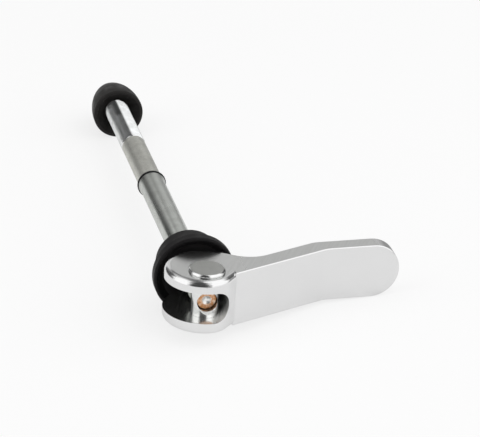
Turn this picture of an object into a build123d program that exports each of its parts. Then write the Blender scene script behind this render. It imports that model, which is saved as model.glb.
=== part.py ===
from build123d import *

import os
from math import cos, radians, sin, sqrt, tan

# Quick release skewer: a forked cam lever on a cross barrel, a stepped shaft, a sliding cup and an end nut.
# Millimetres, +Z up. The origin is the centre of the cup's clamping face, on the shaft's axis.
# The shaft runs along +Y from the lever to the nut. The lever turns about the barrel, which stands
# along Z, and as drawn it is closed and points along +X.

# Fits
running_clearance = 0.06
thread_clearance = 0.04
seat_clearance = 0.05
cam_gap = 0.3

# Shaft, with its stations measured along Y from the cup's clamping face
journal_diameter = 8.0
collar_rise = 0.3
middle_diameter = 7.66
near_thread_diameter = 6.0
far_thread_diameter = 8.0
collar_station = 54.1
collar_taper = 2.6
far_thread_station = 85.6
far_thread_run_in = 0.6
nut_engagement = 11.7
shaft_chamfer = 0.25
thread_chamfer = 0.6
dimple_diameter = 2.6
dimple_depth = 0.8

# Rubber ring in its groove behind the collar
ring_section = 1.25
ring_seat_depth = 0.48
ring_side_room = 0.05

# Cross barrel that the lever turns on
barrel_diameter = 8.2
barrel_head_overhang = 1.25
barrel_head_height = 1.0
barrel_head_round = 0.85
barrel_tail = 0.45
barrel_tail_chamfer = 0.4
countersink_width = 0.7
thread_recess = 1.9
shoulder_gap = 0.2

# Lever, in plan about the barrel: a round cam with a smaller round boss in front, then a bent arm
lever_height = 16.7
slot_side_room = 0.7
slot_reach = 5.8
slot_end_flat = 1.0
cam_radius = 11.4
boss_radius = 7.85
facet_angle = 48.5
head_round = 1.9
crease_round = 1.5
arm_angle = 24.3
arm_front = 5.55
arm_thickness = 5.8
arm_root_inset = 0.5
bend_reach = 38.8
bend_radius = 8.0
tip_angle = 4.0
tip_thickness = 5.2
tip_reach = 61.8
valley_reach = 15.0
valley_angle = 30.0
valley_length = 10.5
valley_radius = 10.0
arm_chamfer = 0.22

# Cup that the cam presses against the frame
cup_body_diameter = 20.2
cup_rim_overhang = 2.1
cup_face_inset = 0.6
cup_height = 12.1
cup_rim_width = 3.5
cup_rim_round = 0.6
cup_step_round = 0.4
cup_face_round = 0.6
cup_rim_wall = 0.8
dish_flank = 1.9
dish_depth = 1.55
bore_chamfer = 0.4

# End nut: a moulded cap around a steel hexagon
grip_length = 113.8
nut_diameter = 16.8
nut_land = 1.6
nut_length = 16.5
nut_end_diameter = 10.0
nut_edge_round = 0.7
nut_nose_round = 3.0
nut_ring_width = 1.0
nut_floor_room = 0.28
nut_dish_depth = 3.1
nut_floor_wall = 0.7
nut_end_room = 0.8
hexagon_across_flats = 11.5
hexagon_height = 5.0
hexagon_chamfer = 0.4

# Places worked out from the sizes above
half_lever = lever_height / 2
barrel_radius = barrel_diameter / 2
cam_offset = cam_radius - boss_radius
barrel_station = -(cup_height - dish_depth + cam_gap + cam_radius + cam_offset)
plan = Plane(origin=(0, barrel_station, 0), x_dir=(1, 0, 0), z_dir=(0, 0, 1))
front = Plane(origin=(0, barrel_station, 0), x_dir=(1, 0, 0), z_dir=(0, -1, 0))
lever_span = tip_reach + cam_radius

os.makedirs("parts", exist_ok=True)


def corner(sketch, x, y):
    """The corner of a sketch nearest to a point."""
    return sketch.vertices().sort_by_distance((x, y, 0))[0]


# Shaft: turned from steel bar, threaded at both ends, with a tapered collar and a ring groove.
# The threads are drawn as plain cylinders at their full diameter.
near_thread_radius = near_thread_diameter / 2 - thread_clearance
far_thread_radius = far_thread_diameter / 2 - thread_clearance
journal_radius = journal_diameter / 2
collar_radius = journal_radius + collar_rise
middle_radius = middle_diameter / 2
ring_inner_radius = middle_radius - ring_seat_depth
groove_radius = ring_inner_radius - ring_side_room
groove_end = collar_station + ring_section + 2 * ring_side_room
thread_start = barrel_station - thread_recess
shoulder_station = barrel_station + barrel_radius + shoulder_gap
shaft_end = grip_length + nut_engagement

with BuildPart() as shaft:
    with BuildSketch() as shaft_profile:
        with BuildLine():
            Polyline(
                (0, thread_start + dimple_depth),
                (dimple_diameter / 2, thread_start),
                (near_thread_radius, thread_start),
                (near_thread_radius, shoulder_station),
                (journal_radius, shoulder_station),
                (journal_radius, collar_station - collar_taper),
                (collar_radius, collar_station),
                (groove_radius, collar_station),
                (groove_radius, groove_end),
                (middle_radius, groove_end),
                (middle_radius, far_thread_station),
                (far_thread_radius, far_thread_station + far_thread_run_in),
                (far_thread_radius, shaft_end),
                (0, shaft_end),
                close=True,
            )
        make_face()
        chamfer(corner(shaft_profile, far_thread_radius, shaft_end), thread_chamfer)
        chamfer(corner(shaft_profile, journal_radius, shoulder_station), shaft_chamfer)
    revolve(axis=Axis.Y)
shaft.part.label = "shaft"
export_step(shaft.part, "parts/shaft.step")


# O-ring: a rubber ring that fills the groove beside the collar
with BuildPart() as o_ring:
    with BuildSketch():
        with Locations((ring_inner_radius + ring_section / 2, (collar_station + groove_end) / 2)):
            Circle(ring_section / 2)
    revolve(axis=Axis.Y)
o_ring.part.label = "o_ring"
export_step(o_ring.part, "parts/o_ring.step")


# Cross barrel: a turned pin with a round-edged head, tapped across its middle for the shaft
with BuildPart() as pivot_barrel:
    with BuildSketch(plan.offset(-half_lever - barrel_tail)):
        Circle(barrel_radius)
    extrude(amount=barrel_tail + lever_height + seat_clearance)
    chamfer(pivot_barrel.edges().sort_by(Axis.Z)[0], barrel_tail_chamfer)
    with BuildSketch(plan.offset(half_lever + seat_clearance)):
        Circle(barrel_radius + barrel_head_overhang)
    extrude(amount=barrel_head_height)
    fillet(pivot_barrel.edges().sort_by(Axis.Z)[-1], barrel_head_round)
    with Locations(front.offset(barrel_radius)):
        CounterSinkHole(near_thread_diameter / 2, near_thread_diameter / 2 + countersink_width)
pivot_barrel.part.label = "pivot_barrel"
export_step(pivot_barrel.part, "parts/pivot_barrel.step")


# Lever arm in plan: front and back are straight runs that turn at a bend, and the back meets the cam in a valley
def front_line(x):
    """Place on the arm's front face, before the bend."""
    return (x, x * tan(radians(arm_angle)) - arm_front / cos(radians(arm_angle)))


def tip_line(x, depth):
    """Place on the tip's front face, or that far behind it."""
    bend_x, bend_y = front_line(bend_reach)
    return (x, bend_y + (x - bend_x) * tan(radians(tip_angle)) + depth / cos(radians(tip_angle)))


def back_line(x):
    """Place on the arm's back face, before the bend."""
    return (x, front_line(x)[1] + arm_thickness / cos(radians(arm_angle)))


facet_cos = cos(radians(facet_angle))
facet_sin = sin(radians(facet_angle))
arm_slope = tan(radians(arm_angle))
tip_slope = tan(radians(tip_angle))
crease_x = (boss_radius + facet_cos * front_line(0)[1]) / (facet_sin - facet_cos * arm_slope)
back_bend_x = (tip_line(0, tip_thickness)[1] - back_line(0)[1]) / (arm_slope - tip_slope)
valley_x, valley_y = back_line(valley_reach)
root_x = valley_x - valley_length * cos(radians(valley_angle))
root_y = valley_y + valley_length * sin(radians(valley_angle))

with BuildPart() as lever_arm:
    with BuildSketch(plan.offset(-half_lever)) as arm_plan:
        with BuildLine():
            Polyline(
                front_line(crease_x - arm_root_inset),
                front_line(bend_reach),
                tip_line(lever_span, 0),
                tip_line(lever_span, tip_thickness),
                back_line(back_bend_x),
                (valley_x, valley_y),
                (root_x, root_y),
                close=True,
            )
        make_face()
        fillet(corner(arm_plan.sketch_local, *front_line(bend_reach)), bend_radius)
        fillet(corner(arm_plan.sketch_local, *back_line(back_bend_x)), bend_radius)
        fillet(corner(arm_plan.sketch_local, valley_x, valley_y), valley_radius)
    extrude(amount=lever_height)
    with BuildSketch(front):
        SlotOverall(2 * tip_reach, lever_height)
    extrude(amount=lever_span, both=True, mode=Mode.INTERSECT)
    chamfer(
        lever_arm.edges() - lever_arm.edges().filter_by(Axis.Z) - lever_arm.edges().filter_by(Axis.Y),
        arm_chamfer,
    )

# Lever: forged and machined in one piece, a round-edged cam head split by a slot for the shaft
facet_start = (boss_radius * facet_sin, -boss_radius * facet_cos)
facet_depth = boss_radius + cam_offset * facet_cos
facet_half = sqrt(cam_radius**2 - facet_depth**2)
facet_end = (
    facet_depth * facet_sin + facet_half * facet_cos,
    cam_offset - facet_depth * facet_cos + facet_half * facet_sin,
)
crease = front_line(crease_x)
crease_reach = crease_round * tan(radians(facet_angle - arm_angle) / 2)
crease_start = (crease[0] - crease_reach * facet_cos, crease[1] - crease_reach * facet_sin)
crease_end = front_line(crease_x + crease_reach * cos(radians(arm_angle)))
slot_height = journal_diameter + 2 * slot_side_room

with BuildPart() as lever:
    with BuildSketch(plan.offset(-half_lever)) as head_plan:
        with BuildLine():
            RadiusArc((0, -boss_radius), facet_start, -boss_radius)
            Line(facet_start, facet_end)
            ThreePointArc(facet_end, (-cam_radius, cam_offset), (0, -boss_radius))
        make_face()
        fillet(corner(head_plan.sketch_local, *facet_end), head_round)
    extrude(amount=lever_height)
    fillet(lever.edges().group_by(Axis.Z)[0] + lever.edges().group_by(Axis.Z)[-1], head_round)
    add(lever_arm.part)
    with BuildSketch(plan.offset(head_round - half_lever)):
        with BuildLine():
            Polyline(crease_start, crease, crease_end)
            TangentArc(crease_start, crease_end, tangent=(facet_cos, facet_sin))
        make_face()
    extrude(amount=lever_height - 2 * head_round)
    with BuildSketch(front):
        with Locations((slot_reach - lever_span / 2, 0)):
            RectangleRounded(lever_span, slot_height, (slot_height - slot_end_flat) / 2)
    extrude(amount=lever_span, both=True, mode=Mode.SUBTRACT)
    with BuildSketch(plan):
        Circle(barrel_radius + running_clearance)
    extrude(amount=lever_height, both=True, mode=Mode.SUBTRACT)
lever.part.label = "lever"
export_step(lever.part, "parts/lever.step")


# Cup: a moulded stepped washer, dished on the lever side so that the cam beds into it
body_radius = cup_body_diameter / 2
rim_radius = body_radius + cup_rim_overhang
face_radius = body_radius - cup_face_inset
mouth_radius = rim_radius - cup_rim_wall
bore_radius = journal_radius + running_clearance
with BuildPart() as cam_cup:
    with BuildSketch() as cup_profile:
        with BuildLine():
            Polyline(
                (bore_radius, 0),
                (face_radius, 0),
                (body_radius, -cup_height + cup_rim_width),
                (rim_radius, -cup_height + cup_rim_width),
                (rim_radius, -cup_height),
                (mouth_radius, -cup_height),
                (mouth_radius - dish_flank, -cup_height + dish_depth),
                (bore_radius, -cup_height + dish_depth),
                close=True,
            )
        make_face()
        fillet(corner(cup_profile, face_radius, 0), cup_face_round)
        fillet(corner(cup_profile, rim_radius, -cup_height + cup_rim_width), cup_step_round)
        fillet(corner(cup_profile, rim_radius, -cup_height), cup_rim_round)
        chamfer(corner(cup_profile, bore_radius, 0), bore_chamfer)
        chamfer(corner(cup_profile, bore_radius, -cup_height + dish_depth), bore_chamfer)
    revolve(axis=Axis.Y)
cam_cup.part.label = "cam_cup"
export_step(cam_cup.part, "parts/cam_cup.step")


# Nut hexagon: a steel nut that takes the shaft's far thread, moulded into the cap
hexagon_station = grip_length + nut_dish_depth + nut_floor_wall
nut_axis = Plane(origin=(0, hexagon_station, 0), x_dir=(1, 0, 0), z_dir=(0, 1, 0))
with BuildPart() as nut_insert:
    with BuildSketch(nut_axis):
        RegularPolygon(hexagon_across_flats / 2, 6, major_radius=False)
        Circle(far_thread_diameter / 2, mode=Mode.SUBTRACT)
    extrude(amount=hexagon_height)
    chamfer(nut_insert.edges().filter_by(GeomType.CIRCLE), hexagon_chamfer)
nut_insert.part.label = "nut_insert"
export_step(nut_insert.part, "parts/nut_insert.step")


# Nut cap: crowned and blunt-nosed, with a clamping ring round a dished mouth
nut_radius = nut_diameter / 2
nut_bore_radius = far_thread_radius + running_clearance
nut_end = grip_length + nut_length
with BuildPart() as nut_cap:
    with BuildSketch() as nut_profile:
        with BuildLine():
            Polyline(
                (0, nut_end),
                (0, shaft_end + nut_end_room),
                (far_thread_diameter / 2, shaft_end + nut_end_room),
                (far_thread_diameter / 2, hexagon_station),
                (nut_bore_radius, hexagon_station),
                (nut_bore_radius, grip_length + nut_dish_depth),
                (nut_bore_radius + nut_floor_room, grip_length + nut_dish_depth),
                (nut_radius - nut_ring_width, grip_length),
                (nut_radius, grip_length),
                (nut_radius, grip_length + nut_land),
            )
            TangentArc((nut_radius, grip_length + nut_land), (nut_end_diameter / 2, nut_end), tangent=(0, 1))
            Line((nut_end_diameter / 2, nut_end), (0, nut_end))
        make_face()
        fillet(corner(nut_profile, nut_radius, grip_length), nut_edge_round)
        fillet(corner(nut_profile, nut_end_diameter / 2, nut_end), nut_nose_round)
    revolve(axis=Axis.Y)
    with BuildSketch(nut_axis.offset(-seat_clearance)):
        RegularPolygon(hexagon_across_flats / 2 + seat_clearance, 6, major_radius=False)
    extrude(amount=hexagon_height + 2 * seat_clearance, mode=Mode.SUBTRACT)
nut_cap.part.label = "nut_cap"
export_step(nut_cap.part, "parts/nut_cap.step")
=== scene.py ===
import math

import bmesh
import bpy
from mathutils import Matrix, Vector


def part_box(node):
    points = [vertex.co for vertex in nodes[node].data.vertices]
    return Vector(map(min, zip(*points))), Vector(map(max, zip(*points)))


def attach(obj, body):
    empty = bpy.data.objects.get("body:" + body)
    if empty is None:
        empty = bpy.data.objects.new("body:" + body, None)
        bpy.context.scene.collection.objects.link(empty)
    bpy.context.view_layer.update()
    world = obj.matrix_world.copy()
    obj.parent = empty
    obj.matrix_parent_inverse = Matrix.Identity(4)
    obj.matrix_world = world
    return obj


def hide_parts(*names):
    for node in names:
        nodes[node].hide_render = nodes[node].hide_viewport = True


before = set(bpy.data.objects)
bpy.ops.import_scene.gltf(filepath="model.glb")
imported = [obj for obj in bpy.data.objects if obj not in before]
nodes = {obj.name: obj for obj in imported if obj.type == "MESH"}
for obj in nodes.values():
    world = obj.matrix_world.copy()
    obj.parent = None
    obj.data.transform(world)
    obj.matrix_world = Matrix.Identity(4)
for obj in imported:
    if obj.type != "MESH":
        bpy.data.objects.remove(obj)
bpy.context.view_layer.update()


# Shaft
# One steel bar, turned and zinc plated, and screwed into the cross barrel, where its end shows copper bright.
# The near stretch keeps its drawing lines, the middle is matt, and the nut's thread is rolled on the far one.
# It stands in for the CAD shaft, whose threads are plain cylinders.
shaft_steps = 72
shaft_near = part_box("shaft")[0].y
shaft_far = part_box("shaft")[1].y
dimple_radius = 0.0013
dimple_depth = 0.0008
near_thread_radius = 0.00296
near_end_radius = 0.0027
shoulder_place = -0.0215
shoulder_chamfer = 0.00025
journal_radius = 0.0040
collar_radius = 0.0043
taper_place = 0.0515
collar_place = 0.0541
groove_radius = 0.0033
groove_end = 0.05545
middle_radius = 0.00383
far_thread_place = 0.0856
far_thread_radius = 0.00396
far_end_radius = 0.00336
thread_pitch = 0.001
thread_depth = 0.00058
thread_run = 0.0006
# One turn of the thread as shares of its pitch and of its depth: root, flank, crest and the flank back
thread_shape = (
    (0.0, 0.05), (0.04, 0.0), (0.13, 0.0), (0.17, 0.05),
    (0.50, 0.95), (0.53, 1.0), (0.64, 1.0), (0.67, 0.95),
)
weld_distance = 1e-6
sharp_angle = math.radians(12)
shaft_points = []
shaft_faces = []


def shaft_point(radius, station, step):
    """Add one point round the shaft's axis and return its number."""
    turn = math.tau * step / shaft_steps
    shaft_points.append((radius * math.sin(turn), station, radius * math.cos(turn)))
    return len(shaft_points) - 1


def turn_profile(profile):
    """Add the skin that a row of radii and stations makes when it is turned."""
    rings = []
    for radius, station in profile:
        rings.append([shaft_point(radius, station, step) for step in range(shaft_steps)])
    for lower, upper in zip(rings, rings[1:]):
        for step in range(shaft_steps):
            after = (step + 1) % shaft_steps
            shaft_faces.append((lower[step], lower[after], upper[after], upper[step]))


def roll_thread(start, end, first_radius, last_radius, crest):
    """Add a screw thread between two stations, run out to a plain circle at each of them."""
    rows = []
    for turn in range(math.ceil((end - start) / thread_pitch) + 3):
        for share, height in thread_shape:
            row = []
            for step in range(shaft_steps):
                station = start + (turn - 1 + share + step / shaft_steps) * thread_pitch
                station = min(max(station, start), end)
                radius = crest - thread_depth * (1 - height)
                radius = first_radius + (radius - first_radius) * min(1, (station - start) / thread_run)
                radius = last_radius + (radius - last_radius) * min(1, (end - station) / thread_run)
                row.append(shaft_point(radius, station, step))
            rows.append(row)
    one_turn = len(thread_shape)
    for place_in_rows in range(len(rows) - one_turn - 1):
        lower = rows[place_in_rows] + rows[place_in_rows + one_turn][:1]
        upper = rows[place_in_rows + 1] + rows[place_in_rows + one_turn + 1][:1]
        for step in range(shaft_steps):
            shaft_faces.append((lower[step], lower[step + 1], upper[step + 1], upper[step]))


def set_down(name, data):
    """Put a new object in the scene and return it."""
    new_object = bpy.data.objects.new(name, data)
    bpy.context.scene.collection.objects.link(new_object)
    return new_object


turn_profile([(0, shaft_near + dimple_depth), (dimple_radius, shaft_near), (near_end_radius, shaft_near)])
roll_thread(shaft_near, shoulder_place, near_end_radius, near_thread_radius, near_thread_radius)
turn_profile([
    (near_thread_radius, shoulder_place),
    (journal_radius - shoulder_chamfer, shoulder_place),
    (journal_radius, shoulder_place + shoulder_chamfer),
    (journal_radius, taper_place),
    (collar_radius, collar_place),
    (groove_radius, collar_place),
    (groove_radius, groove_end),
    (middle_radius, groove_end),
    (middle_radius, far_thread_place),
])
roll_thread(far_thread_place, shaft_far, middle_radius, far_end_radius, far_thread_radius)
turn_profile([(far_end_radius, shaft_far), (0, shaft_far)])
shaft_mesh = bpy.data.meshes.new("threaded_shaft")
shaft_mesh.from_pydata(shaft_points, [], shaft_faces)
shaft_shape = bmesh.new()
shaft_shape.from_mesh(shaft_mesh)
bmesh.ops.remove_doubles(shaft_shape, verts=shaft_shape.verts, dist=weld_distance)
bmesh.ops.dissolve_degenerate(shaft_shape, edges=shaft_shape.edges, dist=weld_distance)
bmesh.ops.recalc_face_normals(shaft_shape, faces=shaft_shape.faces)
shaft_shape.to_mesh(shaft_mesh)
shaft_shape.free()
shaft_mesh.shade_smooth()
shaft_mesh.set_sharp_from_angle(angle=sharp_angle)
shaft = set_down("threaded_shaft", shaft_mesh)

journal_colour = (0.60, 0.62, 0.59, 1)
journal_roughness = 0.19
journal_far_roughness = 0.33
middle_colour = (0.58, 0.58, 0.535, 1)
middle_pale_colour = (0.76, 0.76, 0.705, 1)
middle_speck = 0.0005
middle_speck_range = (0.35, 0.65)
middle_roughness = 0.44
thread_colour = (0.87, 0.885, 0.89, 1)
thread_roughness = 0.10
copper_colour = (0.60, 0.285, 0.125, 1)
copper_pale_colour = (0.86, 0.66, 0.50, 1)
copper_patch = 0.0009
copper_patch_range = (0.46, 0.66)
copper_roughness = 0.40
copper_depth = 0.0013
dimple_colour = (0.95, 0.95, 0.93, 1)
dimple_roughness = 0.32
shaft_mark_colour = (0.3, 0.3, 0.27, 1)
shaft_mark_size = 0.004
shaft_mark_share = 0.30
shaft_line_density = (3500, 60, 3500)
shaft_line_dullness = 0.10
shaft_line_strength = 0.11
thread_line_strength = 0.01
line_height = 0.00004
soft_line = 0.00012


def place(tree, kind, inputs=None, **options):
    """Add one shader node, with its options and with values or links on its inputs."""
    node = tree.nodes.new(kind)
    for name, value in options.items():
        setattr(node, name, value)
    for name, value in (inputs or {}).items():
        if isinstance(value, bpy.types.NodeSocket):
            tree.links.new(value, node.inputs[name])
        else:
            node.inputs[name].default_value = value
    return node


def maths(tree, operation, first, second=0.0):
    """The result of a sum on two values."""
    return place(tree, "ShaderNodeMath", {0: first, 1: second}, operation=operation).outputs[0]


def vector_maths(tree, operation, first, second=(0, 0, 0)):
    """A node with the result of a sum on two vectors."""
    return place(tree, "ShaderNodeVectorMath", {0: first, 1: second}, operation=operation)


def spread(tree, value, low, high, to_low=0.0, to_high=1.0):
    """A value stretched from one range to another, and held at its ends."""
    ranges = {"Value": value, "From Min": low, "From Max": high, "To Min": to_low, "To Max": to_high}
    return place(tree, "ShaderNodeMapRange", ranges).outputs["Result"]


def mix_values(tree, share, first, second):
    """A value between two, by a share from 0 to 1."""
    return place(tree, "ShaderNodeMix", {0: share, 2: first, 3: second}).outputs[0]


def mix_colours(tree, share, first, second):
    """A colour between two, by a share from 0 to 1."""
    return place(tree, "ShaderNodeMix", {0: share, 6: first, 7: second}, data_type="RGBA").outputs[2]


def stain(tree, mask, share, colour, stained):
    """A colour that goes a share of the way to another where a mask lies."""
    return mix_colours(tree, maths(tree, "MULTIPLY", mask, share), colour, stained)


def noise(tree, position, scale, detail, roughness):
    """A cloudy value round a half, with so many clouds to the metre."""
    settings = {"Vector": position, "Scale": scale, "Detail": detail, "Roughness": roughness}
    return place(tree, "ShaderNodeTexNoise", settings).outputs["Fac"]


def axes_of(tree, vector):
    """The three parts of a vector, by their names."""
    return place(tree, "ShaderNodeSeparateXYZ", {"Vector": vector}).outputs


def off_axis(tree, position, across):
    """How far a point lies from an axis, measured in the directions across it."""
    flattened = vector_maths(tree, "MULTIPLY", position, across).outputs[0]
    return vector_maths(tree, "LENGTH", flattened).outputs["Value"]


def swing(tree, lines, share):
    """A value that goes up and down round nothing with the lines, by a share of them."""
    return maths(tree, "MULTIPLY", maths(tree, "SUBTRACT", lines, 0.5), share)


def relief(tree, height, strength, depth):
    """The normal of a surface with a fine relief on it."""
    heights = {"Height": height, "Strength": strength, "Distance": depth}
    return place(tree, "ShaderNodeBump", heights).outputs["Normal"]


def new_finish(name, **constants):
    """A new material, its node tree and its surface shader, with the plain values set on the shader."""
    material = bpy.data.materials.new(name)
    material.use_nodes = True
    tree = material.node_tree
    shader = tree.nodes["Principled BSDF"]
    for socket, value in constants.items():
        shader.inputs[socket.replace("_", " ")].default_value = value
    return material, tree, shader


def lay_on(tree, shader, **values):
    """Link what changes over the surface to the shader."""
    for socket, value in values.items():
        tree.links.new(value, shader.inputs[socket.replace("_", " ")])


def place_in_part(tree):
    """Where a point lies in the part's own frame, in metres."""
    return place(tree, "ShaderNodeTexCoord").outputs["Object"]


def new_group(name, inputs, outputs):
    """An empty shader group with named values going in and coming out."""
    group = bpy.data.node_groups.new(name, "ShaderNodeTree")
    for socket, kind in inputs.items():
        group.interface.new_socket(socket, in_out="INPUT", socket_type=kind)
    for socket, kind in outputs.items():
        group.interface.new_socket(socket, in_out="OUTPUT", socket_type=kind)
    return group, group.nodes.new("NodeGroupInput").outputs, group.nodes.new("NodeGroupOutput").inputs


def use_group(tree, group, **inputs):
    """Place a group in a material with that material's own values, and return what it puts out."""
    return place(tree, "ShaderNodeGroup", inputs, node_tree=group).outputs


# Fine lines that a tool leaves in metal: noise drawn out along one direction
lines_group, lines_in, lines_out = new_group(
    "tool_lines",
    {"Position": "NodeSocketVector", "Density": "NodeSocketVector", "Detail": "NodeSocketFloat"},
    {"Lines": "NodeSocketFloat"},
)
drawn_out = vector_maths(lines_group, "MULTIPLY", lines_in["Position"], lines_in["Density"]).outputs[0]
lines_noise = noise(lines_group, drawn_out, 1.0, detail=lines_in["Detail"], roughness=0.65)
lines_group.links.new(lines_noise, lines_out["Lines"])

# Handling marks: broad soft patches that are a little duller than the rest
marks_range = (0.35, 0.68)
marks_group, marks_in, marks_out = new_group(
    "handling_marks",
    {"Position": "NodeSocketVector", "Size": "NodeSocketFloat"},
    {"Marks": "NodeSocketFloat"},
)
marks_scale = maths(marks_group, "DIVIDE", 1.0, marks_in["Size"])
marks_noise = noise(marks_group, marks_in["Position"], marks_scale, detail=5.0, roughness=0.6)
marks_group.links.new(spread(marks_group, marks_noise, *marks_range), marks_out["Marks"])

shaft_finish, shaft_tree, shaft_shader = new_finish("zinc_plated_shaft", Metallic=1.0)
shaft_place = place_in_part(shaft_tree)
along_shaft = axes_of(shaft_tree, shaft_place)["Y"]
copper_end = shaft_near + copper_depth
is_copper = spread(shaft_tree, along_shaft, copper_end + soft_line, copper_end - soft_line)
is_middle = spread(shaft_tree, along_shaft, groove_end - soft_line, groove_end + soft_line)
is_thread = spread(shaft_tree, along_shaft, far_thread_place - soft_line, far_thread_place + soft_line)
shaft_lines = use_group(
    shaft_tree, lines_group, Position=shaft_place, Density=shaft_line_density, Detail=3.0
)["Lines"]
shaft_marks = use_group(shaft_tree, marks_group, Position=shaft_place, Size=shaft_mark_size)["Marks"]

middle_noise = noise(shaft_tree, shaft_place, 1 / middle_speck, detail=3.0, roughness=0.7)
middle_specks = spread(shaft_tree, middle_noise, *middle_speck_range)
middle_shade = mix_colours(shaft_tree, middle_specks, middle_colour, middle_pale_colour)
plated_colour = mix_colours(shaft_tree, is_middle, journal_colour, middle_shade)
steel_colour = mix_colours(shaft_tree, is_thread, plated_colour, thread_colour)
marked_colour = stain(shaft_tree, shaft_marks, shaft_mark_share, steel_colour, shaft_mark_colour)

# The copper is patchy, and the edge of the steel dimple in it is ragged
copper_noise = noise(shaft_tree, shaft_place, 1 / copper_patch, detail=3.0, roughness=0.6)
copper_patches = spread(shaft_tree, copper_noise, *copper_patch_range)
copper_shade = mix_colours(shaft_tree, copper_patches, copper_colour, copper_pale_colour)
from_axis = off_axis(shaft_tree, shaft_place, (1, 0, 1))
ragged_radius = maths(shaft_tree, "ADD", from_axis, swing(shaft_tree, copper_noise, dimple_radius))
off_dimple = spread(shaft_tree, ragged_radius, dimple_radius - 2 * soft_line, dimple_radius + 2 * soft_line)
end_colour = mix_colours(shaft_tree, off_dimple, dimple_colour, copper_shade)
shaft_colour = mix_colours(shaft_tree, is_copper, marked_colour, end_colour)

journal_dull = spread(shaft_tree, along_shaft, 0.0, taper_place, journal_roughness, journal_far_roughness)
plated_dull = mix_values(shaft_tree, is_middle, journal_dull, middle_roughness)
steel_dull = mix_values(shaft_tree, is_thread, plated_dull, thread_roughness)
end_dull = mix_values(shaft_tree, off_dimple, dimple_roughness, copper_roughness)
smooth_dull = mix_values(shaft_tree, is_copper, steel_dull, end_dull)
shaft_dull = maths(shaft_tree, "ADD", smooth_dull, swing(shaft_tree, shaft_lines, shaft_line_dullness))
line_strength = mix_values(shaft_tree, is_thread, shaft_line_strength, thread_line_strength)
shaft_relief = relief(shaft_tree, shaft_lines, line_strength, line_height)
lay_on(shaft_tree, shaft_shader, Base_Color=shaft_colour, Roughness=shaft_dull, Normal=shaft_relief)
shaft_mesh.materials.append(shaft_finish)
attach(shaft, "skewer")
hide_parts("shaft")


# Rubber ring
# A small O-ring, moulded in black rubber.
# It is stretched over the shaft and sits in the groove behind the collar.
rubber_colour = (0.008, 0.008, 0.009, 1)
rubber_gloss = (0.45, 0.6)
rubber_grain = 0.00012
rubber_grain_depth = 0.00002
moulding_specular = 0.16
moulding_gloss_range = (0.3, 0.7)
moulding_uneven_tint = 1.6
# Edge tint: wear, and a painted highlight along the edges
moulding_worn_and_highlight_tint = 3.5
moulding_edge = 0.00025
moulding_buffing = 0.12
grain_strength = 0.2


def dress(node, material):
    """Give a piece its finish in place of the plain one."""
    slots = nodes[node].data.materials
    slots.clear()
    slots.append(material)


# Fine grain of a mould: a close noise for height, and a slow one that makes the surface uneven in gloss
gloss_share_of_grain = 0.06
grain_group, grain_in, grain_out = new_group(
    "mould_grain",
    {"Position": "NodeSocketVector", "Size": "NodeSocketFloat"},
    {"Height": "NodeSocketFloat", "Gloss": "NodeSocketFloat"},
)
grain_scale = maths(grain_group, "DIVIDE", 1.0, grain_in["Size"])
gloss_scale = maths(grain_group, "MULTIPLY", grain_scale, gloss_share_of_grain)
grain_height = noise(grain_group, grain_in["Position"], grain_scale, detail=4.0, roughness=0.55)
grain_gloss = noise(grain_group, grain_in["Position"], gloss_scale, detail=3.0, roughness=0.5)
grain_group.links.new(grain_height, grain_out["Height"])
grain_group.links.new(grain_gloss, grain_out["Gloss"])

# Worn edges and painted edge highlights: where the surface turns sharply, broken up by a noise so that both
# come and go
edge_bend_range = (0.985, 0.88)
edge_noise_range = (0.35, 0.6)
edge_least_wear_and_highlight = 0.25
edge_clouds = 0.25
edge_group, edge_in, edge_out = new_group(
    "edge_wear_and_highlight",
    {"Position": "NodeSocketVector", "Width": "NodeSocketFloat"},
    {"Wear_and_highlight": "NodeSocketFloat"},
)
rounded = place(edge_group, "ShaderNodeBevel", {"Radius": edge_in["Width"]}, samples=6).outputs[0]
unrounded = place(edge_group, "ShaderNodeNewGeometry").outputs["Normal"]
edge_bend = vector_maths(edge_group, "DOT_PRODUCT", rounded, unrounded).outputs["Value"]
edge_scale = maths(edge_group, "DIVIDE", edge_clouds, edge_in["Width"])
edge_noise = noise(edge_group, edge_in["Position"], edge_scale, detail=3.0, roughness=0.6)
edge_value = maths(
    edge_group, "MULTIPLY", spread(edge_group, edge_bend, *edge_bend_range),
    spread(edge_group, edge_noise, *edge_noise_range, edge_least_wear_and_highlight, 1.0),
)
edge_group.links.new(edge_value, edge_out["Wear_and_highlight"])


def tinted(colour, factor):
    """A colour made lighter by a factor."""
    return tuple(factor * part for part in colour[:3]) + (1,)


def new_moulding(name, colour, gloss, grain_size, grain_depth):
    """A moulded black finish: its roughness between two values, the grain of its mould and paler edges, worn
    and with a painted highlight.
    """
    material, tree, shader = new_finish(name, Specular_IOR_Level=moulding_specular)
    position = place_in_part(tree)
    grain = use_group(tree, grain_group, Position=position, Size=grain_size)
    wear_and_highlight_mask = use_group(tree, edge_group, Position=position, Width=moulding_edge)["Wear_and_highlight"]
    uneven_shade = mix_colours(tree, grain["Gloss"], colour, tinted(colour, moulding_uneven_tint))
    # Paler edges: wear, with a painted highlight along them
    shade = mix_colours(tree, wear_and_highlight_mask, uneven_shade, tinted(colour, moulding_worn_and_highlight_tint))
    uneven_dull = spread(tree, grain["Gloss"], *moulding_gloss_range, *gloss)
    dull = maths(tree, "SUBTRACT", uneven_dull, maths(tree, "MULTIPLY", wear_and_highlight_mask, moulding_buffing))
    grain_relief = relief(tree, grain["Height"], grain_strength, grain_depth)
    lay_on(tree, shader, Base_Color=shade, Roughness=dull, Normal=grain_relief)
    return material


dress("o_ring", new_moulding("ring_rubber", rubber_colour, rubber_gloss, rubber_grain, rubber_grain_depth))


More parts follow.
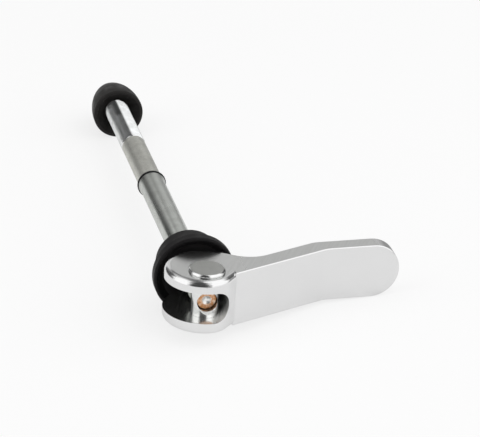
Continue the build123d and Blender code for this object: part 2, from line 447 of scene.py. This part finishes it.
# End nut
# A black moulded cap, crowned and blunt, with a clamping ring round its dished mouth.
# A plain zinc plated hexagon is moulded into it and takes the shaft's far thread.
nut_colour = (0.0140, 0.0130, 0.0125, 1)
nut_gloss = (0.40, 0.64)
nut_grain = 0.00016
nut_grain_depth = 0.00003
hexagon_colour = (0.50, 0.50, 0.49, 1)
hexagon_mark_colour = (0.36, 0.36, 0.33, 1)
hexagon_mark_size = 0.003
hexagon_gloss = (0.35, 0.5)
dress("nut_cap", new_moulding("nut_moulding", nut_colour, nut_gloss, nut_grain, nut_grain_depth))

hexagon_finish, hexagon_tree, hexagon_shader = new_finish("plain_zinc", Metallic=1.0)
hexagon_marks = use_group(
    hexagon_tree, marks_group, Position=place_in_part(hexagon_tree), Size=hexagon_mark_size
)["Marks"]
hexagon_shade = mix_colours(hexagon_tree, hexagon_marks, hexagon_colour, hexagon_mark_colour)
hexagon_dull = spread(hexagon_tree, hexagon_marks, 0.0, 1.0, *hexagon_gloss)
lay_on(hexagon_tree, hexagon_shader, Base_Color=hexagon_shade, Roughness=hexagon_dull)
dress("nut_insert", hexagon_finish)


# Cup
# A black moulded cup with a step, that slides on the shaft.
# The cam beds in its dish, and its flat far face grips the frame.
cup_colour = (0.0056, 0.0051, 0.0054, 1)
cup_gloss = (0.42, 0.58)
cup_grain = 0.00018
cup_grain_depth = 0.00003
dress("cam_cup", new_moulding("cup_moulding", cup_colour, cup_gloss, cup_grain, cup_grain_depth))


# Cross barrel
# A polished steel pin with a low head, tapped across its middle for the shaft. The lever turns on it.
# The top of its head is left as turned, dull and cloudy, and its sides are bright.
barrel_colour = (0.88, 0.885, 0.88, 1)
barrel_roughness = 0.15
head_top_colour = (0.50, 0.505, 0.485, 1)
head_top_roughness = 0.42
head_top_facing = (0.84, 0.95)
barrel_mark_colour = (0.36, 0.365, 0.35, 1)
barrel_mark_size = 0.0022
barrel_mark_share = 0.14
barrel_mark_dullness = 0.05
# Edges paler than the rest: wear, and a painted highlight along them
barrel_worn_and_highlight_colour = (0.94, 0.94, 0.93, 1)
barrel_edge = 0.0002
barrel_worn_and_highlight_share = 0.5


def facing_up(tree):
    """How far the surface looks along the barrel: 1 is up and -1 is down."""
    return axes_of(tree, place(tree, "ShaderNodeTexCoord").outputs["Normal"])["Z"]


barrel_finish, barrel_tree, barrel_shader = new_finish("polished_barrel", Metallic=1.0)
barrel_place = place_in_part(barrel_tree)
is_head_top = spread(barrel_tree, facing_up(barrel_tree), *head_top_facing)
barrel_marks = use_group(barrel_tree, marks_group, Position=barrel_place, Size=barrel_mark_size)["Marks"]
barrel_wear_and_highlight = use_group(barrel_tree, edge_group, Position=barrel_place, Width=barrel_edge)["Wear_and_highlight"]
clean_barrel = mix_colours(barrel_tree, is_head_top, barrel_colour, head_top_colour)
marked_barrel = stain(barrel_tree, barrel_marks, barrel_mark_share, clean_barrel, barrel_mark_colour)
# Paler edges: wear, with a painted highlight along them
worn_and_highlit_barrel = stain(barrel_tree, barrel_wear_and_highlight, barrel_worn_and_highlight_share, marked_barrel, barrel_worn_and_highlight_colour)
barrel_gloss = mix_values(barrel_tree, is_head_top, barrel_roughness, head_top_roughness)
marks_dull = maths(barrel_tree, "MULTIPLY", barrel_marks, barrel_mark_dullness)
barrel_dull = maths(barrel_tree, "ADD", barrel_gloss, marks_dull)
lay_on(barrel_tree, barrel_shader, Base_Color=worn_and_highlit_barrel, Roughness=barrel_dull)
dress("pivot_barrel", barrel_finish)


# Lever
# One piece of aluminium, forged and machined, then polished on its front and its round edges.
# The flat top and bottom keep the fine lines of a sanding belt run across the arm.
# It turns on the cross barrel.
lever_colour = (0.83, 0.83, 0.83, 1)
lever_roughness = 0.16
flat_facing = (0.98, 0.996)
flat_colour = (0.62, 0.625, 0.615, 1)
flat_pale_colour = (0.70, 0.705, 0.695, 1)
flat_head_roughness = 0.245
flat_arm_roughness = 0.31
arm_start = (0.009, 0.017)
belt_angle = math.radians(-62)
belt_density = (90, 2200, 90)
belt_range = (0.3, 0.7)
belt_dullness = 0.03
flat_belt_dullness = 0.01
belt_strength = 0.004
flat_belt_strength = 0.007
slot_colour = (0.96, 0.96, 0.945, 1)
slot_side_roughness = 0.24
slot_end_roughness = 0.42
slot_half = 0.00471
slot_milled = (-0.0056, -0.0040)
slot_wall_reach = 0.0077
barrel_axis = (0.0, -0.0258, 0.0)
lever_mark_colour = (0.55, 0.55, 0.56, 1)
lever_mark_size = 0.009
lever_mark_share = 0.06
lever_mark_dullness = 0.02
# Edges paler than the rest: wear, and a painted highlight along them
lever_worn_and_highlight_colour = (0.93, 0.93, 0.93, 1)
lever_edge = 0.0003
lever_worn_and_highlight_share = 0.5
lever_edge_buffing = 0.03
lever_finish, lever_tree, lever_shader = new_finish("polished_lever", Metallic=1.0)
lever_place = place_in_part(lever_tree)
lever_axes = axes_of(lever_tree, lever_place)
is_flat = spread(lever_tree, maths(lever_tree, "ABSOLUTE", facing_up(lever_tree)), *flat_facing)
is_arm = spread(lever_tree, lever_axes["X"], *arm_start)
turned_place = place(
    lever_tree, "ShaderNodeVectorRotate", {"Vector": lever_place, "Angle": belt_angle}, rotation_type="Z_AXIS"
).outputs[0]
belt_lines = use_group(
    lever_tree, lines_group, Position=turned_place, Density=belt_density, Detail=4.0
)["Lines"]
lever_marks = use_group(lever_tree, marks_group, Position=lever_place, Size=lever_mark_size)["Marks"]
lever_wear_and_highlight = use_group(lever_tree, edge_group, Position=lever_place, Width=lever_edge)["Wear_and_highlight"]

# The slot lies between the ears and inside the head, past the line where the cutter came in
between_ears = maths(lever_tree, "LESS_THAN", maths(lever_tree, "ABSOLUTE", lever_axes["Z"]), slot_half)
off_barrel = vector_maths(lever_tree, "SUBTRACT", lever_place, barrel_axis).outputs[0]
inside_head = maths(lever_tree, "LESS_THAN", off_axis(lever_tree, off_barrel, (1, 1, 0)), slot_wall_reach)
in_slot = maths(
    lever_tree, "MULTIPLY", spread(lever_tree, lever_axes["X"], *slot_milled),
    maths(lever_tree, "MULTIPLY", between_ears, inside_head),
)

sanded_shade = mix_colours(
    lever_tree, spread(lever_tree, belt_lines, *belt_range), flat_colour, flat_pale_colour
)
outside_shade = mix_colours(lever_tree, is_flat, lever_colour, sanded_shade)
clean_lever = mix_colours(lever_tree, in_slot, outside_shade, slot_colour)
marked_lever = stain(lever_tree, lever_marks, lever_mark_share, clean_lever, lever_mark_colour)
# Paler edges: wear, with a painted highlight along them
worn_and_highlit_lever = stain(lever_tree, lever_wear_and_highlight, lever_worn_and_highlight_share, marked_lever, lever_worn_and_highlight_colour)

flat_gloss = mix_values(lever_tree, is_arm, flat_head_roughness, flat_arm_roughness)
outside_gloss = mix_values(lever_tree, is_flat, lever_roughness, flat_gloss)
slot_gloss = mix_values(lever_tree, is_flat, slot_end_roughness, slot_side_roughness)
lever_gloss = mix_values(lever_tree, in_slot, outside_gloss, slot_gloss)
marked_gloss = maths(
    lever_tree, "ADD", lever_gloss, maths(lever_tree, "MULTIPLY", lever_marks, lever_mark_dullness)
)
belt_share = mix_values(lever_tree, is_flat, belt_dullness, flat_belt_dullness)
belt_gloss = maths(lever_tree, "ADD", marked_gloss, swing(lever_tree, belt_lines, belt_share))
lever_dull = maths(
    lever_tree, "SUBTRACT", belt_gloss, maths(lever_tree, "MULTIPLY", lever_wear_and_highlight, lever_edge_buffing)
)
belt_depth = mix_values(lever_tree, is_flat, belt_strength, flat_belt_strength)
lever_relief = relief(lever_tree, belt_lines, belt_depth, line_height)
lay_on(lever_tree, lever_shader, Base_Color=worn_and_highlit_lever, Roughness=lever_dull, Normal=lever_relief)
dress("lever", lever_finish)


# Floor
# A plain white sheet under the part. The part lies on the cup's rim, the nut's rim and the tip of the lever,
# so the sheet is laid through those three places.
floor_reach = 3.0
floor_gap = 0.00004
floor_colour = (0.9, 0.9, 0.9, 1)
full_white = (1, 1, 1, 1)
floor_seen_white = 0.76
floor_mirrored_white = 0.5
floor_mirrored_grey = 0.88
# A painted shade on the sheet beyond the lever's tip, seen only in reflections
floor_painted_shade_grey = 0.32
floor_painted_shade_start = (0.058, -0.012, 0)
floor_painted_shade_bearings = (math.radians(12), math.radians(60))
floor_painted_shade_blur = 0.004
cup_rim_back = 0.0031
nut_rim_back = 0.0018
tip_station = -0.0088
cup_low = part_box("cam_cup")[0]
nut_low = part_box("nut_cap")[0]
lever_low, lever_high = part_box("lever")
cup_touch = cup_low.y + cup_rim_back
nut_touch = nut_low.y + nut_rim_back
tip_touch = Vector((lever_high.x + lever_low.z, tip_station))
floor_rise = (nut_low.z - cup_low.z) / (nut_touch - cup_touch)
floor_middle = cup_low.z - floor_rise * cup_touch
floor_side = (lever_low.z - floor_middle - floor_rise * tip_touch.y) / tip_touch.x


def floor_corner(x, y):
    """A point of the sheet, at its own height."""
    return x, y, floor_middle + floor_side * x + floor_rise * y - floor_gap


def mirrored_rays(tree, rays):
    """1 for a ray that comes from a reflection or through glass."""
    return maths(tree, "MAXIMUM", rays["Is Glossy Ray"], rays["Is Transmission Ray"])


def new_bare_finish(name):
    """A new material with an empty node tree."""
    material = bpy.data.materials.new(name)
    material.use_nodes = True
    material.node_tree.nodes.clear()
    return material, material.node_tree


floor_mesh = bpy.data.meshes.new("floor")
floor_signs = ((-1, -1), (1, -1), (1, 1), (-1, 1))
floor_mesh.from_pydata(
    [floor_corner(floor_reach * x, floor_reach * y) for x, y in floor_signs], [], [(0, 1, 2, 3)]
)
floor = set_down("floor", floor_mesh)

floor_finish, floor_tree = new_bare_finish("white_sheet")
paper = place(floor_tree, "ShaderNodeBsdfDiffuse", {"Color": floor_colour})
floor_rays = place(floor_tree, "ShaderNodeLightPath").outputs
floor_mirrored = mirrored_rays(floor_tree, floor_rays)
floor_strength = mix_values(floor_tree, floor_mirrored, 1.0, floor_mirrored_grey)
floor_glow = place(floor_tree, "ShaderNodeEmission", {"Color": full_white, "Strength": floor_strength})
floor_white = maths(
    floor_tree, "MAXIMUM", maths(floor_tree, "MULTIPLY", floor_rays["Is Camera Ray"], floor_seen_white),
    maths(floor_tree, "MULTIPLY", floor_mirrored, floor_mirrored_white),
)
floor_sum = place(
    floor_tree, "ShaderNodeMixShader", {0: floor_white, 1: paper.outputs[0], 2: floor_glow.outputs[0]}
)

# Beyond the lever's tip the sheet carries a painted shade, a dim grey that only reflections see
from_tip = vector_maths(floor_tree, "SUBTRACT", place_in_part(floor_tree), floor_painted_shade_start).outputs[0]
painted_shade_share = floor_mirrored
for side, bearing in zip((1, -1), floor_painted_shade_bearings):
    inwards = (side * math.cos(bearing), -side * math.sin(bearing), 0)
    inside = vector_maths(floor_tree, "DOT_PRODUCT", from_tip, inwards).outputs["Value"]
    inside_share = spread(floor_tree, inside, -floor_painted_shade_blur, floor_painted_shade_blur)
    painted_shade_share = maths(floor_tree, "MULTIPLY", painted_shade_share, inside_share)
floor_painted_shade = place(floor_tree, "ShaderNodeEmission", {"Color": full_white, "Strength": floor_painted_shade_grey})
floor_top = place(
    floor_tree, "ShaderNodeMixShader", {0: painted_shade_share, 1: floor_sum.outputs[0], 2: floor_painted_shade.outputs[0]}
)

# From below the sheet can be seen through
from_below = place(floor_tree, "ShaderNodeNewGeometry").outputs["Backfacing"]
clear = place(floor_tree, "ShaderNodeBsdfTransparent")
floor_sides = place(
    floor_tree, "ShaderNodeMixShader", {0: from_below, 1: floor_top.outputs[0], 2: clear.outputs[0]}
)
place(floor_tree, "ShaderNodeOutputMaterial", {"Surface": floor_sides.outputs[0]})
floor_mesh.materials.append(floor_finish)


# Studio
# A white room with a large softbox on each side and a weak one overhead.
# A dome that only reflections see stands for the rest of the room: bright at the sides, grey behind the part,
# and dark behind the camera and overhead.
room_fill = 0.30
lamp_aim = Vector((0.01, 0.0, 0.0))
dome_radius = 2.4
dome_white = 1.18
# A patch of the dome: its bearing, half width and side blur, its low and high edge, their blur, and its grey
dome_patches = {
    "ceiling at the back left": (-28, 22, 22, 43, 120, 5, 0.42),
    "ceiling at the back": (2, 18, 9, 46, 120, 5, 0.15),
    "ceiling on the left": (-100, 100, 20, 68, 120, 7, 0.13),
    "ceiling at the front left": (-125, 12, 6, 48, 120, 6, 0.20),
    "low wall on the right": (115, 45, 10, -40, 12, 8, 0.85),
    "wall behind the camera": (202, 30, 6, -40, 120, 4, 0.065),
    "wall behind the part": (10, 24, 6, -40, 36, 5, 0.67),
    "top of the wall behind the part": (8, 18, 8, 36, 46, 5, 0.34),
    "left end of that wall's top": (-8, 12, 6, 33, 46, 4, 0.10),
    "screen at the back left": (-41, 23, 6, -40, 43, 4, 0.085),
    "pale edge of that screen": (-27, 7, 4, 20, 40, 6, 0.32),
    "low strip on the left": (-66, 8, 6, -40, 17, 6, 0.12),
    "screen at the back right": (54, 23, 6, -40, 43, 7, 0.08),
    "low strip on the right": (80, 8, 5, -40, 15, 5, 0.14),
}


def add_softbox(name, spot, size, power):
    """A soft rectangular lamp that looks at the part. Its reflection is left to the dome."""
    lamp = bpy.data.lights.new(name, "AREA")
    lamp.shape = "RECTANGLE"
    lamp.size, lamp.size_y = size
    lamp.energy = power
    holder = set_down(name, lamp)
    holder.location = spot
    holder.rotation_euler = (lamp_aim - Vector(spot)).to_track_quat("-Z", "Y").to_euler()
    holder.visible_glossy = False


world = bpy.data.worlds.new("studio")
bpy.context.scene.world = world
world.use_nodes = True
world_tree = world.node_tree
world_rays = place(world_tree, "ShaderNodeLightPath").outputs
world_seen = maths(world_tree, "MAXIMUM", world_rays["Is Camera Ray"], mirrored_rays(world_tree, world_rays))
room_white = world_tree.nodes["Background"]
room_white.inputs["Color"].default_value = full_white
world_tree.links.new(mix_values(world_tree, world_seen, room_fill, 1.0), room_white.inputs["Strength"])

add_softbox("lamp_left", spot=(-1.05, -0.13, 0.66), size=(1.0, 1.2), power=5.8)
add_softbox("lamp_right", spot=(0.79, -0.49, 0.84), size=(1.8, 1.2), power=10.8)
add_softbox("lamp_overhead", spot=(0.05, 0.10, 1.20), size=(1.4, 1.4), power=4.2)

dome_mesh = bpy.data.meshes.new("dome")
dome_shape = bmesh.new()
bmesh.ops.create_uvsphere(dome_shape, u_segments=48, v_segments=24, radius=dome_radius)
dome_shape.to_mesh(dome_mesh)
dome_shape.free()
dome = set_down("dome", dome_mesh)
dome.visible_camera = False
dome.visible_diffuse = False
dome.visible_shadow = False

dome_finish, dome_tree = new_bare_finish("room_in_reflections")
dome_finish.cycles.emission_sampling = "NONE"
dome_place = place_in_part(dome_tree)
dome_sine = maths(dome_tree, "DIVIDE", axes_of(dome_tree, dome_place)["Z"], dome_radius)
dome_height = maths(dome_tree, "DEGREES", maths(dome_tree, "ARCSINE", dome_sine))


def shade_dome(glow, bearing, half_width, side_blur, low, high, edge_blur, grey):
    """The dome's glow with a soft-edged patch of another grey on it, set out in degrees.

    Bearing 0 is along +Y and 90 along +X.
    """
    turned = place(
        dome_tree, "ShaderNodeVectorRotate", {"Vector": dome_place, "Angle": math.radians(bearing)},
        rotation_type="Z_AXIS",
    ).outputs[0]
    aside = axes_of(dome_tree, turned)
    bearing_off = maths(dome_tree, "DEGREES", maths(dome_tree, "ARCTAN2", aside["X"], aside["Y"]))
    bearing_off = maths(dome_tree, "ABSOLUTE", bearing_off)
    within = spread(dome_tree, bearing_off, half_width + side_blur, half_width - side_blur)
    above = spread(dome_tree, dome_height, low - edge_blur, low + edge_blur)
    below = spread(dome_tree, dome_height, high + edge_blur, high - edge_blur)
    share = maths(dome_tree, "MULTIPLY", within, maths(dome_tree, "MULTIPLY", above, below))
    return mix_colours(dome_tree, share, glow, (grey, grey, grey, 1))


dome_glow = (dome_white, dome_white, dome_white, 1)
for patch in dome_patches.values():
    dome_glow = shade_dome(dome_glow, *patch)
dome_light = place(dome_tree, "ShaderNodeEmission", {"Color": dome_glow, "Strength": 1.0})
place(dome_tree, "ShaderNodeOutputMaterial", {"Surface": dome_light.outputs[0]})
dome_mesh.materials.append(dome_finish)


# Camera
# A long lens, a little above the part and to the left of its shaft.
# It is held slightly out of level.
camera_spot = Vector((-0.1435, -0.6083, 0.2949))
camera_target = Vector((0.0210, 0.0218, 0.0023))
camera_roll = math.radians(4.2)
camera_data = bpy.data.cameras.new("camera")
camera_data.sensor_width = 36.0
camera_data.lens = 175.3
camera = set_down("camera", camera_data)
look = (camera_target - camera_spot).to_track_quat("-Z", "Y").to_matrix().to_4x4()
camera.matrix_world = Matrix.Translation(camera_spot) @ look @ Matrix.Rotation(camera_roll, 4, "Z")
bpy.context.scene.camera = camera
bpy.context.scene.view_settings.view_transform = "Standard"
